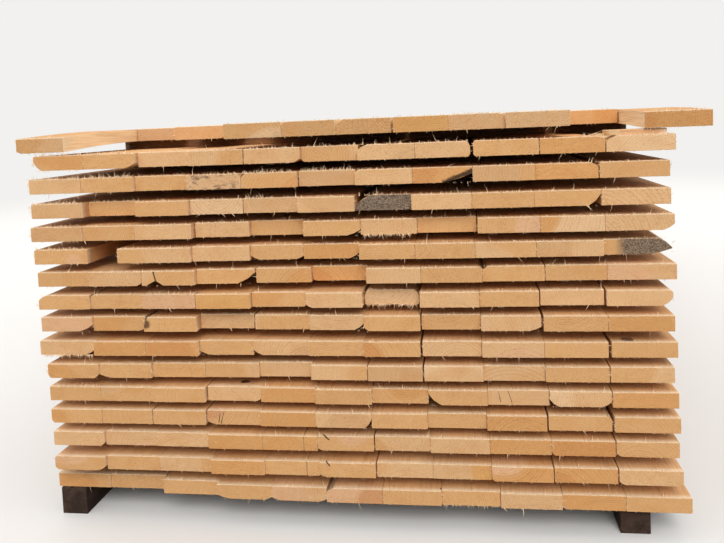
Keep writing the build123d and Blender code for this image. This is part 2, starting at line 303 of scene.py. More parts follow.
# How torn the upper and the lower arris of an end is, and where a front end stands out in that
USUAL_FUZZ = (0.35, 0.1)
RAISED_FUZZ = (0.5, 0.12)
USUAL_SIDE_FUZZ = 0.12
LEFT_SIDE_FUZZ = 0.7
FUZZY_COURSES = (11, 12, 13, 14, 15)
FUZZY_BOARDS = 7
FUZZ_OF = {
    (16, 1): (0.6, 0.2), (16, 8): (0.9, 0.1), (16, 11): (1.0, 0.2), (15, 1): (1.0, 0.4), (15, 2): (0.8, 0.1),
    (15, 4): (0.6, 0.1), (14, 1): (1.0, 0.1), (14, 2): (1.0, 0.1), (14, 5): (1.0, 0.1), (14, 6): (1.0, 0.1),
    (14, 8): (0.1, 0.1), (13, 1): (0.9, 0.1), (12, 1): (0.8, 0.2), (12, 7): (0.3, 1.0), (11, 1): (0.9, 0.2),
    (11, 2): (0.6, 0.2), (9, 3): (0.7, 0.1), (9, 7): (0.3, 1.0), (7, 1): (0.3, 1.0), (5, 1): (0.8, 0.1),
    (1, 8): (0.2, 0.6),
}

# Torn fibres: lengths, how many stand on each mm of a wholly torn arris, and how they lean and bend
SHORT_FIBRE = 7 * MM
LONG_FIBRE = 12 * MM
TOP_FIBRE = 5 * MM
SHORT_PER_MM = 1.1
LONG_PER_MM = 0.08
LEAST_SHORT = 0.35
SHORT_GAIN = 0.9
SHORT_OUTWARD = 0.2
LONG_OUTWARD = 0.15
SIDE_WAY = (0.8, 0.6, 0.3)
FIBRE_LEAN = 0.4
FIBRE_BEND = 0.25
LENGTH_SHARE = (0.3, 1.0)
LENGTH_POWER = 1.4
FIBRE_RADIUS = (0.4, 0.7)

# Where their roots lie: away from the corners, and so deep in the wood that none floats
CORNER_MARGIN = 3 * MM
SIDE_MARGIN = 4 * MM
BEHIND_END = 0.4 * MM
ROOT_DEPTH = 0.3 * MM
SIDE_ROOT_DEPTH = 0.2 * MM

# A fibre is a rod of few faces: its sides, its rings from root to tip, and how far it thins
ROD_SIDES = 3
ROD_RINGS = (0.0, 0.35, 0.7, 1.0)
ROD_TAPER = 0.9
NEARLY_UPRIGHT = 0.9

# Single splinters at front ends: (course, board): rows of (from the left edge, above the lower edge,
# how far it leans right, how far up, length), mm
SPLINTERS = {
    (15, 10): ((74, 26, 1.0, 0.4, 26), (68, 26, 0.3, 1.0, 7), (72, 26, -0.4, 1.0, 7), (96, 26, 0.4, 0.4, 8)),
    (14, 1): ((88, 0, 0.75, -0.8, 14),),
    (14, 4): ((13, 26, 0.0, 1.0, 13),),
    (14, 10): ((88, 26, 0.3, 1.0, 9), (84, 26, 0.2, 1.0, 8)),
    (13, 5): ((12, 26, -0.45, 1.0, 11), (8, 26, -0.5, 1.0, 8), (33, 26, -0.35, 1.0, 10),
              (36, 26, -0.1, 1.0, 9), (30, 26, -0.9, 0.8, 9), (52, 26, 0.0, 1.0, 5)),
    (13, 10): ((82, 0, 0.8, -0.6, 14), (85, 0, 0.5, -0.9, 11)),
    (12, 2): ((2, 0, 0.6, -0.8, 9),),
    (11, 2): ((101, 26, 0.0, 1.0, 6), (96, 26, -0.3, 1.0, 5)),
    (9, 3): ((91, 26, 0.0, 1.0, 9),),
    (9, 9): ((32, 26, -0.3, 1.0, 6), (36, 26, 0.3, 1.0, 6), (75, 26, 0.0, 1.0, 6)),
    (7, 3): ((13, 0, 0.0, -1.0, 10),),
    (6, 1): ((0, 14, -1.0, 0.3, 9), (0, 10, -1.0, 0.0, 8), (0, 20, -0.8, 0.6, 8)),
    (5, 5): ((10, 26, -0.1, 1.0, 13), (13, 26, 0.1, 1.0, 8)),
    (4, 6): ((22, 26, 0.1, 1.0, 11),),
    (3, 9): ((29, 0, 0.0, -1.0, 9),),
    (1, 9): ((4, 0, 0.8, -0.6, 9),),
}
SPLINTER_RADIUS = 0.8 * MM
SPLINTER_OUTWARD = 0.15
SPLINTER_BEND = 0.15

draw = random.Random(5)
scatter = np.random.default_rng(3)


def make_camera():
    """The camera looks along the stack from the front, turned, tipped and rolled as in the photograph."""
    yaw_cos, yaw_sin = math.cos(CAMERA_YAW), math.sin(CAMERA_YAW)
    right = Vector((yaw_cos, -yaw_sin, 0))
    ahead = Vector((yaw_sin, yaw_cos, 0))
    up = Vector((0, 0, 1))
    tip_cos, tip_sin = math.cos(CAMERA_PITCH), math.sin(CAMERA_PITCH)
    ahead, up = ahead * tip_cos + up * tip_sin, up * tip_cos - ahead * tip_sin
    roll_cos, roll_sin = math.cos(CAMERA_ROLL), math.sin(CAMERA_ROLL)
    right, up = right * roll_cos + up * roll_sin, up * roll_cos - right * roll_sin
    turn = Matrix((right, up, -ahead)).transposed().to_4x4()
    data = bpy.data.cameras.new("camera")
    data.sensor_fit = "HORIZONTAL"
    data.sensor_width = SENSOR_WIDTH
    data.lens = SENSOR_WIDTH * FOCAL_PIXELS / FRAME_WIDTH_PIXELS
    data.shift_y = (HORIZON_CENTRE_PIXELS - FRAME_HEIGHT_PIXELS / 2) / FRAME_WIDTH_PIXELS
    data.clip_end = CAMERA_REACH
    camera = bpy.data.objects.new("camera", data)
    camera.matrix_world = Matrix.Translation(CAMERA_PLACE) @ turn
    bpy.context.scene.collection.objects.link(camera)
    bpy.context.scene.camera = camera


def add_node(tree, kind, *sockets, **settings):
    """Adds a shader node with its settings and gives back its outputs. The node's operation may follow
    its kind. Values and links come in the order of the sockets, or as a dict by number or name."""
    kind, *operation = kind.split()
    made = tree.nodes.new("ShaderNode" + kind)
    if operation:
        made.operation = operation[0]
    for name, value in settings.items():
        setattr(made, name, value)
    named = sockets[0] if sockets and isinstance(sockets[0], dict) else dict(enumerate(sockets))
    for name, value in named.items():
        if isinstance(value, bpy.types.NodeSocket):
            tree.links.new(value, made.inputs[name])
        else:
            made.inputs[name].default_value = value
    return made.outputs


def new_material(name):
    """An empty node material, and add_node for its tree."""
    material = bpy.data.materials.new(name)
    material.use_nodes = True
    material.node_tree.nodes.clear()
    return material, functools.partial(add_node, material.node_tree)


def pattern_noise(add, place, pattern, seed=(0.0, 0.0, 0.0)):
    """Noise with the pattern's cells, moved by the board's own seed."""
    cells, octaves, roughness = pattern
    place = add("VectorMath MULTIPLY", place, cells)[0]
    place = add("VectorMath ADD", place, seed)[0]
    made = add("TexNoise", {"Vector": place, "Scale": 1.0, "Detail": octaves, "Roughness": roughness})
    return made["Fac"]


def layer_share(add, noise, layer):
    """How much of a layer shows: it rises smoothly with the noise of its pattern."""
    pattern, begins, full, most = LAYERS[layer]
    return add("MapRange", noise[pattern], begins, full, 0.0, most, **SMOOTH)[0]


def grain_place(add, along):
    """A place in the wood with Y along the grain: whole, and its three parts."""
    x, y, z = add("SeparateXYZ", add("TexCoord")["Object"])
    if along == "X":
        x, y = y, x
    return add("CombineXYZ", x, y, z)[0], x, y, z


def facing(add, along):
    """How far a face is an end, a front end and an upright long face, each from 0 to 1."""
    x, y, _ = add("SeparateXYZ", add("NewGeometry")["Normal"])
    if along == "X":
        x, y = y, x
    turned = add("Math ABSOLUTE", y)[0], add("Math MULTIPLY", y, -1.0)[0], add("Math ABSOLUTE", x)[0]
    return [add("MapRange", value, *FACING, **SMOOTH)[0] for value in turned]


def growth_rings(add, x, z, spacing, noise):
    """How much late wood there is at a place, and 1 inside the heartwood. Rings are cylinders about the
    board's own pith, which bends along the tree. The late wood darkens towards the end of each ring,
    and some rings have more of it than others."""
    log = add("Attribute", attribute_name="log")["Vector"]
    pith_x, heart_radius, pith_z = add("SeparateXYZ", log)
    across = add("Math SUBTRACT", x, pith_x)[0]
    upwards = add("Math SUBTRACT", z, pith_z)[0]
    span = add("Math MULTIPLY_ADD", upwards, upwards, add("Math MULTIPLY", across, across)[0])[0]
    span = add("Math SQRT", span)[0]
    span = add("Math MULTIPLY_ADD", noise["bends"], PITH_BEND, span)[0]
    span = add("Math MULTIPLY_ADD", noise["waves"], RING_WAVE, span)[0]
    count = add("Math DIVIDE", span, spacing)[0]
    ring = add("Math FRACT", count)[0]
    rise = add("MapRange", ring, *LATE_RISE, **SMOOTH)[0]
    late = add("Math MULTIPLY", rise, add("MapRange", ring, *LATE_END, *FALLING, **SMOOTH)[0])[0]
    each = add("TexWhiteNoise", {"W": add("Math FLOOR", count)[0]}, noise_dimensions="1D")[0]
    amount = add("Math MULTIPLY_ADD", each, 1 - FAINTEST_RING, FAINTEST_RING)[0]
    beyond = add("Math SUBTRACT", span, heart_radius)[0]
    heart = add("MapRange", beyond, -HEART_BORDER, HEART_BORDER, *FALLING, **SMOOTH)[0]
    return add("Math MULTIPLY", late, amount)[0], heart


def raised_fibre_and_highlight_share(add, y, z, end, tears):
    """How much the raised pale fibres and the painted highlight cover: a strip of long face just behind
    either end, which also stands in for the light there before the course above shades the face, and the
    upper arris of the end itself. Their edge is ragged."""
    planes = add("Attribute", attribute_name="end_planes")["Vector"]
    near_plane, far_plane, high = add("SeparateXYZ", planes)
    uneven = add("Math SUBTRACT", tears, NOISE_MIDDLE)[0]
    below = add("Math MULTIPLY_ADD", uneven, RIM_RAGGED, add("Math SUBTRACT", high, z)[0])[0]
    behind_near = add("Math SUBTRACT", y, near_plane)[0]
    behind_far = add("Math SUBTRACT", far_plane, y)[0]
    behind = add("Math MINIMUM", behind_near, behind_far)[0]
    behind = add("Math MULTIPLY_ADD", uneven, STRIP_RAGGED, behind)[0]
    rim = add("MapRange", below, *RIM, *FALLING, **SMOOTH)[0]
    strip = add("MapRange", behind, *STRIP, *FALLING, **SMOOTH)[0]
    return add("Math MULTIPLY", add("Mix", {0: end, 2: strip, 3: rim})[0], RAISED_AND_HIGHLIGHT_COVER)[0]


def log_surface(add, noise):
    """The log's own surface where a corner is missing: clean and pale, or with rests of dark bark, which on
    a lower corner is partly painted shade.
    """
    bast = layer_share(add, noise, "bast")
    brown = layer_share(add, noise, "brown bark")
    bark_and_shade_left = add("Attribute", attribute_name="bark_and_shade_left")["Fac"]
    clean = add("Mix", {0: bast, 6: CLEAN_LOG, 7: BAST}, **COLOURS)[2]
    bark = add("Mix", {0: brown, 6: DARK_BARK, 7: BROWN_BARK}, **COLOURS)[2]
    return add("Mix", {0: bark_and_shade_left, 6: clean, 7: bark}, **COLOURS)[2]


def weather_layers(add, x, front, grey, begins, noise):
    """Layers of the weathered front ends: dark and pale specks where they are grey all over, and brown
    veins on a duller ground where they are marbled. They begin at the board's own place across it."""
    before = add("Math SUBTRACT", begins, WEATHER_BEFORE)[0]
    after = add("Math ADD", begins, WEATHER_AFTER)[0]
    reach = add("Math MULTIPLY", add("MapRange", x, before, after, **SMOOTH)[0], front)[0]
    wholly = add("MapRange", grey, *WHOLLY_GREY, **SMOOTH)[0]
    partly = add("MapRange", grey, *WHOLLY_GREY, *FALLING, **SMOOTH)[0]
    marbled = add("Math MULTIPLY", add("MapRange", grey, *MARBLED, **SMOOTH)[0], partly)[0]
    marbled = add("Math MULTIPLY", marbled, reach)[0]
    covered = add("Math MULTIPLY", add("Math MULTIPLY", wholly, reach)[0], GREY_COVER)[0]
    pale = layer_share(add, noise, "pale specks")
    specks = add("Mix", {0: pale, 6: DARK_SPECK, 7: PALE_SPECK}, **COLOURS)[2]
    veins = add("Math MULTIPLY", marbled, layer_share(add, noise, "veins"))[0]
    return ((covered, specks), (add("Math MULTIPLY", marbled, MARBLED_COVER)[0], MARBLED_GROUND),
            (veins, MARBLED_VEIN))


def knot_share(add, place, specks, darkness):
    """How much of the knot or bark mark shows. It is a ball in the wood with a ragged edge, so that it
    shows on every face that it meets."""
    middle = add("Attribute", attribute_name="knot")["Vector"]
    radius = add("Attribute", attribute_name="knot_radius")["Fac"]
    away = add("VectorMath DISTANCE", place, middle)["Value"]
    away = add("Math MULTIPLY", away, add("Math MULTIPLY_ADD", specks, KNOT_RAGGED, KNOT_LEAST)[0])[0]
    share = add("Math DIVIDE", away, radius)[0]
    return add("Math MULTIPLY", add("MapRange", share, *KNOT_EDGE, *FALLING, **SMOOTH)[0], darkness)[0]


def line_gap(add, place, name):
    """Distance of a place from the line between the board's two points of this name."""
    first = add("Attribute", attribute_name=name + "_from")["Vector"]
    last = add("Attribute", attribute_name=name + "_to")["Vector"]
    run = add("VectorMath SUBTRACT", last, first)[0]
    away = add("VectorMath SUBTRACT", place, first)[0]
    part = add("VectorMath DOT_PRODUCT", away, run)["Value"]
    whole = add("Math MAXIMUM", add("VectorMath DOT_PRODUCT", run, run)["Value"], MM * MM)[0]
    share = add("Math DIVIDE", part, whole, use_clamp=True)[0]
    nearest = add("VectorMath SCALE", {0: run, "Scale": share})[0]
    return add("VectorMath DISTANCE", away, nearest)["Value"]


def crack_share(add, place, noise):
    """How much of the dark shows in the board's one or two drying cracks. The grain bends them a
    little, and the edge of a wide one is torn."""
    half_width = add("Attribute", attribute_name="crack_width")["Fac"]
    gap = add("Math MINIMUM", line_gap(add, place, "crack"), line_gap(add, place, "second_crack"))[0]
    waving = add("Math SUBTRACT", noise["waves"], NOISE_MIDDLE)[0]
    gap = add("Math MULTIPLY_ADD", waving, CRACK_BEND, gap)[0]
    torn = add("Math SUBTRACT", noise["tears"], NOISE_MIDDLE)[0]
    share = add("Math MULTIPLY_ADD", torn, CRACK_TEAR, add("Math DIVIDE", gap, half_width)[0])[0]
    depth = add("MapRange", share, *CRACK_EDGE, *FALLING, **SMOOTH)[0]
    return add("Math MULTIPLY", depth, CRACK_COVER)[0]


def sawn_relief(add, x, y, z, end, waves, fibre, late):
    """Height of the sawn surface: saw lines across the long faces and aslant on the ends, hollows
    between the fibres, and late wood that stands a little proud."""
    lines = add("Math MULTIPLY_ADD", waves, LONG_FACE_WAVER, add("Math MULTIPLY", y, SAW_PHASE)[0])[0]
    aslant = add("Math MULTIPLY_ADD", z, SAW_SLANT, add("Math MULTIPLY", x, SAW_PHASE)[0])[0]
    aslant = add("Math MULTIPLY_ADD", waves, END_WAVER, aslant)[0]
    saw = add("Mix", {0: end, 2: add("Math SINE", lines)[0], 3: add("Math SINE", aslant)[0]})[0]
    height = add("Math MULTIPLY_ADD", fibre, FIBRE_HOLLOW, add("Math MULTIPLY", saw, SAW_HEIGHT)[0])[0]
    return add("Math MULTIPLY_ADD", late, LATE_HEIGHT, height)[0]


def sawn_wood(name, along="Y", side_colour="#D9A874"):
    """Rough-sawn spruce: dry, matt and pale tan, with arcs of growth rings on the ends, grain along the long
    faces, and raised pale fibres with a painted highlight where the saw has left the wood. along is the axis
    that the grain follows, and side_colour the colour of the upright long faces, which carries painted light
    on the top course and painted shade on the laths."""
    material, add = new_material(name)
    place, x, y, z = grain_place(add, along)
    end, front, upright = facing(add, along)
    growth = add("Attribute", attribute_name="growth")["Vector"]
    spacing, seed, strength = add("SeparateXYZ", growth)
    seeds = add("CombineXYZ", seed, seed, seed)[0]
    noise = {key: pattern_noise(add, place, pattern, seeds) for key, pattern in WOOD_PATTERNS.items()}
    wear = add("Attribute", attribute_name="wear")["Vector"]
    grey, grey_begins, knot_darkness = add("SeparateXYZ", wear)

    # the ground: heartwood or sapwood on ends, and mostly the long faces' own colour on those
    late, heart = growth_rings(add, x, z, spacing, noise)
    heart_tone = add("Attribute", attribute_name="heart_tone")["Color"]
    sap_tone = add("Attribute", attribute_name="sap_tone")["Color"]
    tone = add("Mix", {0: heart, 6: sap_tone, 7: heart_tone}, **COLOURS)[2]
    long_tone = add("Mix", {0: upright, 6: FLAT_FACE, 7: linear(side_colour)}, **COLOURS)[2]
    long_share = add("Math MULTIPLY_ADD", upright, UPRIGHT_SHARE - FLAT_SHARE, FLAT_SHARE)[0]
    long_face = add("Mix", {0: long_share, 6: tone, 7: long_tone}, **COLOURS)[2]
    colour = add("Mix", {0: end, 6: long_face, 7: tone}, **COLOURS)[2]

    ring_cover = add("Math MULTIPLY_ADD", end, RING_ON_END - RING_ON_LONG_FACE, RING_ON_LONG_FACE)[0]
    rings = add("Math MULTIPLY", add("Math MULTIPLY", late, strength)[0], ring_cover)[0]
    fibre = add("Mix", {0: end, 2: layer_share(add, noise, "streaks"),
                        3: layer_share(add, noise, "end grain")})[0]
    wane = add("Math MULTIPLY", add("Attribute", attribute_name="wane")["Fac"], WANE_COVER)[0]

    # what lies over the ground, each layer with how much of it shows
    layers = (
        (layer_share(add, noise, "clouds"), CLOUD),
        (rings, LATE_WOOD),
        (fibre, FIBRE_SHADE),
        (layer_share(add, noise, "flecks"), PALE_FLECK),
        # raised fibres and painted highlight
        (raised_fibre_and_highlight_share(add, y, z, end, noise["tears"]), RAISED_FIBRE_AND_HIGHLIGHT),
        (wane, log_surface(add, noise)),
        *weather_layers(add, x, front, grey, grey_begins, noise),
        (knot_share(add, place, noise["specks"], knot_darkness), KNOT_COLOUR),
        (crack_share(add, place, noise), CRACK_COLOUR),
    )
    for share, over in layers:
        colour = add("Mix", {0: share, 6: colour, 7: over}, **COLOURS)[2]

    relief = sawn_relief(add, x, y, z, end, noise["waves"], fibre, late)
    bump = add("Bump", {"Height": relief, "Distance": WOOD_RELIEF, "Strength": 0.8})[0]
    shader = add("BsdfPrincipled", {"Base Color": colour, "Roughness": 0.82, "IOR": 1.53,
                                    "Specular IOR Level": 0.3, "Normal": bump})[0]
    add("OutputMaterial", shader)
    return material


def weathered_timber(along):
    """Old dark softwood of the bearers: grey-brown and dull, with cracks along the grain and soil in
    them."""
    material, add = new_material("weathered_dark_timber_" + along.lower())
    place, *_ = grain_place(add, along)
    noise = {key: pattern_noise(add, place, pattern) for key, pattern in TIMBER_PATTERNS.items()}
    colour = TIMBER_DARK
    over_it = {"patches": TIMBER_PALE, "timber streaks": TIMBER_STREAK, "timber cracks": TIMBER_CRACK}
    for layer, over in over_it.items():
        colour = add("Mix", {0: layer_share(add, noise, layer), 6: colour, 7: over}, **COLOURS)[2]
    relief = add("MapRange", noise["timber cracks"], *TIMBER_CRACK_DEPTH, *FALLING, **SMOOTH)[0]
    relief = add("Math MULTIPLY_ADD", noise["timber streaks"], TIMBER_STREAK_HOLLOW, relief)[0]
    bump = add("Bump", {"Height": relief, "Distance": TIMBER_RELIEF, "Strength": 0.9})[0]
    shader = add("BsdfPrincipled", {"Base Color": colour, "Roughness": 0.9, "IOR": 1.5,
                                    "Specular IOR Level": 0.2, "Normal": bump})[0]
    add("OutputMaterial", shader)
    return material


def torn_fibre():
    """Torn spruce fibres: clean wood, paler than the sawn faces, and a little uneven in colour."""
    material, add = new_material("torn_spruce_fibre")
    tint = pattern_noise(add, add("TexCoord")["Object"], SPLINTER_PATTERN)
    colour = add("Mix", {0: tint, 6: SPLINTER_PALE, 7: SPLINTER_TAN}, **COLOURS)[2]
    shader = add("BsdfPrincipled", {"Base Color": colour, "Roughness": 0.7, "IOR": 1.53,
                                    "Specular IOR Level": 0.3})[0]
    add("OutputMaterial", shader)
    return material


def merged_solids(name):
    """A node's points and triangles with doubles merged, and the number of each point's solid."""
    mesh = nodes[name].data
    points = np.empty(len(mesh.vertices) * 3, np.float32)
    mesh.vertices.foreach_get("co", points)
    points = points.reshape(-1, 3).astype(float)
    mesh.calc_loop_triangles()
    faces = np.empty(len(mesh.loop_triangles) * 3, np.int32)
    mesh.loop_triangles.foreach_get("vertices", faces)
    keys = np.round(points / MERGE_DISTANCE).astype(np.int64)
    _, first, inverse = np.unique(keys, axis=0, return_index=True, return_inverse=True)
    points = points[first]
    faces = inverse.reshape(-1)[faces].reshape(-1, 3)
    whole = (faces[:, 0] != faces[:, 1]) & (faces[:, 1] != faces[:, 2]) & (faces[:, 2] != faces[:, 0])
    faces = faces[whole]
    return points, faces, solid_numbers(points, faces)


def solid_numbers(points, faces):
    """The number of each point's solid, counted from the left and then upwards. Each point takes the
    lowest mark of the triangles that it is part of, until no mark changes."""
    mark = np.arange(len(points))
    while True:
        lowest = mark[faces].min(axis=1)
        spread = mark.copy()
        np.minimum.at(spread, faces.ravel(), np.repeat(lowest, 3))
        if (spread == mark).all():
            break
        mark = spread
    _, mark = np.unique(mark, return_inverse=True)
    mark = mark.reshape(-1)
    corner = np.full((mark.max() + 1, 2), np.inf)
    np.minimum.at(corner, mark, points[:, (0, 2)])
    order = np.lexsort((corner[:, 1], np.round(corner[:, 0] / COLUMN_STEP)))
    rank = np.empty(len(order), int)
    rank[order] = np.arange(len(order))
    return rank[mark]


def put_attribute(mesh, name, kind, values, domain="POINT"):
    """Stores one value for each point or face."""
    made = mesh.attributes.new(name, kind, domain)
    key = {"FLOAT_VECTOR": "vector", "FLOAT_COLOR": "color", "FLOAT": "value", "INT": "value"}[kind]
    made.data.foreach_set(key, np.ascontiguousarray(values).ravel())


def solid_copy(name, points, faces, solids):
    """The solids as one mesh of flat faces, and the number of each of its points' solid."""
    mesh = bpy.data.meshes.new(name)
    mesh.from_pydata(points, [], faces.tolist())
    put_attribute(mesh, "solid", "INT", solids.astype(np.int32))
    work = bmesh.new()
    work.from_mesh(mesh)
    bmesh.ops.dissolve_limit(work, angle_limit=FLAT_ANGLE, verts=work.verts, edges=work.edges)
    work.to_mesh(mesh)
    work.free()
    numbers = np.empty(len(mesh.vertices), np.int32)
    mesh.attributes["solid"].data.foreach_get("value", numbers)
    return mesh, numbers


def link(name, mesh, material):
    """Puts a mesh in the scene as a piece of the stack."""
    mesh.materials.append(material)
    piece = bpy.data.objects.new(name, mesh)
    bpy.context.scene.collection.objects.link(piece)
    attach(piece, "root")
    return piece


def soften(piece):
    """Takes the sharpness off the arrises, as sawing and handling do."""
    edge = piece.modifiers.new("arris", "BEVEL")
    edge.width = ARRIS
    edge.segments = ARRIS_SEGMENTS
    edge.limit_method = "ANGLE"
    edge.angle_limit = ARRIS_ANGLE


def oblique_faces(mesh):
    """1 on each face that is neither square to the board nor to its end: the log's own surface."""
    normals = np.empty(len(mesh.polygons) * 3, np.float32)
    mesh.polygons.foreach_get("normal", normals)
    return (np.abs(normals.reshape(-1, 3)).max(axis=1) < SQUARE_FACE).astype(np.float32)


def board_ends(points, solids, front=True):
    """For each solid: left, right, end plane, lower and upper edge of its end, far plane, as rows."""
    rows = []
    for solid in range(solids.max() + 1):
        own = points[solids == solid]
        planes = own[:, 1].min(), own[:, 1].max()
        plane, far_plane = planes if front else planes[::-1]
        level = own[np.abs(own[:, 1] - plane) < END_DEPTH, 2]
        rows.append((own[:, 0].min(), own[:, 0].max(), plane, level.min(), level.max(), far_plane))
    return np.array(rows)


def board_values(course, board, left, right, plane, low, high, far_plane):
    """One board's own wood: where its pith was, its rings, tones and marks."""
    key = (course, board)
    middle_x, middle_z = (left + right) / 2, (low + high) / 2
    turn = draw.uniform(0, 2 * math.pi)
    distance = draw.uniform(*PITH_DISTANCE) * MM
    pith_x = middle_x + distance * math.cos(turn)
    pith_z = middle_z + distance * math.sin(turn)
    spacing = draw.uniform(*RING_SPACING) * MM
    strength = draw.uniform(*RING_STRENGTH)
    heart_radius = distance + draw.uniform(*HEART_BEYOND) * MM
    heart = draw.choice(RANDOM_TONES)
    sap = draw.choice(("usual", "pale", heart))
    if key in PITH_OF:
        shift_x, shift_z, pitch = PITH_OF[key]
        pith_x, pith_z, spacing = middle_x + shift_x * MM, middle_z + shift_z * MM, pitch * MM
        strength = PLAIN_RING_STRENGTH
        heart_radius = math.hypot(shift_x, shift_z) * MM + PLAIN_HEART_BEYOND
    if key in TONE_OF:
        heart, sap = TONE_OF[key]
    # the lift by course is painted light: more sky reaches the upper courses
    course_tone = TOP_COURSE_TONE if course == len(courses) else 1 + PAINTED_SKY_LIGHT_LIFT * course
    lift = draw.uniform(*TONE_SPREAD) * course_tone
    seed = draw.uniform(0, SEED_RANGE)
    heart_tone, sap_tone = ([v * lift for v in linear(TONES[tone])[:3]] + [1.0] for tone in (heart, sap))

    corner = np.array((left, plane, low))
    *knot_middle, knot_radius, knot_darkness = KNOT_OF.get(key, NO_KNOT)
    grey, grey_from = GREY_OF.get(key, (0, 0))
    half_width, *lines = CRACKS_OF.get(key, NO_CRACK)
    crack, second_crack = (corner + np.array(line) * MM for line in (lines + [NOWHERE, NOWHERE])[:2])
    return {
        "log": (pith_x, max(heart_radius, LEAST_HEART), pith_z),
        "growth": (spacing, seed, strength),
        "heart_tone": heart_tone,
        "sap_tone": sap_tone,
        "knot": corner + np.array(knot_middle) * MM,
        "knot_radius": knot_radius * MM,
        "wear": (grey, left + grey_from * MM if grey_from else -FAR_AWAY, knot_darkness),
        "bark_and_shade_left": BARK_AND_SHADE_OF.get(key, USUAL_BARK),
        "end_planes": (plane, far_plane, high),
        "crack_from": crack[0],
        "crack_to": crack[1],
        "second_crack_from": second_crack[0],
        "second_crack_to": second_crack[1],
        "crack_width": half_width * MM,
    }


def put_wood_values(mesh, numbers, boards):
    """Spreads each board's values over its points, and marks the faces of the log's own surface."""
    kinds = {1: "FLOAT", 3: "FLOAT_VECTOR", 4: "FLOAT_COLOR"}
    for name in boards[0]:
        rows = np.array([values[name] for values in boards], np.float32)
        width = 1 if rows.ndim == 1 else rows.shape[1]
        put_attribute(mesh, name, kinds[width], rows[numbers])
    put_attribute(mesh, "wane", "FLOAT", oblique_faces(mesh), "FACE")


def make_wood(node, name, material, course=0, axes=(0, 1, 2)):
    """A node's boards or laths: the solids' own shape with softened arrises, each its own wood. axes
    puts the axis of the grain second. Gives back their points and the number of each one's solid."""
    points, faces, solids = merged_solids(node)
    mesh, numbers = solid_copy(name, points, faces, solids)
    ends = board_ends(points[:, axes], solids)
    put_wood_values(mesh, numbers, [board_values(course, i, *end) for i, end in enumerate(ends, start=1)])
    piece = link(name, mesh, material)
    soften(piece)
    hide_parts(node)
    return points, solids


def needles(name, roots, ways, bends, lengths, radii, material):
    """Torn fibres: each is a closed three-sided rod that tapers to its tip. Its point at t along and
    corner a is root + length (t way + t squared bend) + radius (1 - 0.9 t) (cos a across + sin a over)."""
    t = np.array(ROD_RINGS)
    sides = np.arange(ROD_SIDES)
    angles = sides * 2 * np.pi / ROD_SIDES
    ways = ways / np.linalg.norm(ways, axis=1, keepdims=True)
    helper = np.where(np.abs(ways[:, 2:3]) > NEARLY_UPRIGHT, (1.0, 0.0, 0.0), (0.0, 0.0, 1.0))
    across = np.cross(ways, helper)
    across /= np.linalg.norm(across, axis=1, keepdims=True)
    over = np.cross(ways, across)
    line = ways[:, None, :] * t[None, :, None] + bends[:, None, :] * (t ** 2)[None, :, None]
    line = roots[:, None, :] + lengths[:, None, None] * line
    thick = radii[:, None] * (1 - ROD_TAPER * t)[None, :]
    outward = (np.cos(angles)[None, None, :, None] * across[:, None, None, :]
               + np.sin(angles)[None, None, :, None] * over[:, None, None, :])
    grid = line[:, :, None, :] + thick[:, :, None, None] * outward
    start = (np.arange(len(roots)) * len(t) * ROD_SIDES)[:, None, None]
    step = (np.arange(len(t) - 1) * ROD_SIDES)[None, :, None]
    here = start + step + sides[None, None, :]
    beside = start + step + ((sides + 1) % ROD_SIDES)[None, None, :]
    quads = np.stack((here, beside, beside + ROD_SIDES, here + ROD_SIDES), axis=-1).reshape(-1, 4)
    base = start[:, 0, :] + sides[::-1][None, :]
    tip = start[:, 0, :] + ROD_SIDES * (len(t) - 1) + sides[None, :]
    mesh = bpy.data.meshes.new(name)
    mesh.from_pydata(grid.reshape(-1, 3), [], quads.tolist() + base.tolist() + tip.tolist())
    link(name, mesh, material)


def tuft(first, last, way, amount, longest):
    """Roots, ways, bends, lengths and radii of torn fibres spread along the line from first to last.
    amount is their number for each mm. They point along way, with a lean that differs for each."""
    first, last, way = (np.array(v, float) for v in (first, last, way))
    count = scatter.poisson(amount * np.linalg.norm(last - first) / MM)
    root = first + (last - first) * scatter.uniform(0, 1, (count, 1))
    lean = scatter.normal(0, FIBRE_LEAN, (count, 3))
    bend = scatter.normal(0, FIBRE_BEND, (count, 3))
    length = longest * scatter.uniform(*LENGTH_SHARE, count) ** LENGTH_POWER
    radius = scatter.uniform(*FIBRE_RADIUS, count) * MM
    return root, way + lean, bend, length, radius


def splinter_rows(splinters, left, plane, low, high):
    """The single splinters of one front end, each as a row like those of tuft."""
    rows = []
    for x, z, lean, rise, length in splinters:
        level = min(max(low + z * MM, low + ROOT_DEPTH), high - ROOT_DEPTH)
        root = np.array([(left + max(x * MM, ROOT_DEPTH), plane + ROOT_DEPTH, level)])
        way = np.array([(lean, -SPLINTER_OUTWARD, rise)])
        bend = np.array([(SPLINTER_BEND * rise, 0.0, 0.0)])
        rows.append((root, way, bend, np.array([length * MM]), np.array([SPLINTER_RADIUS])))
    return rows


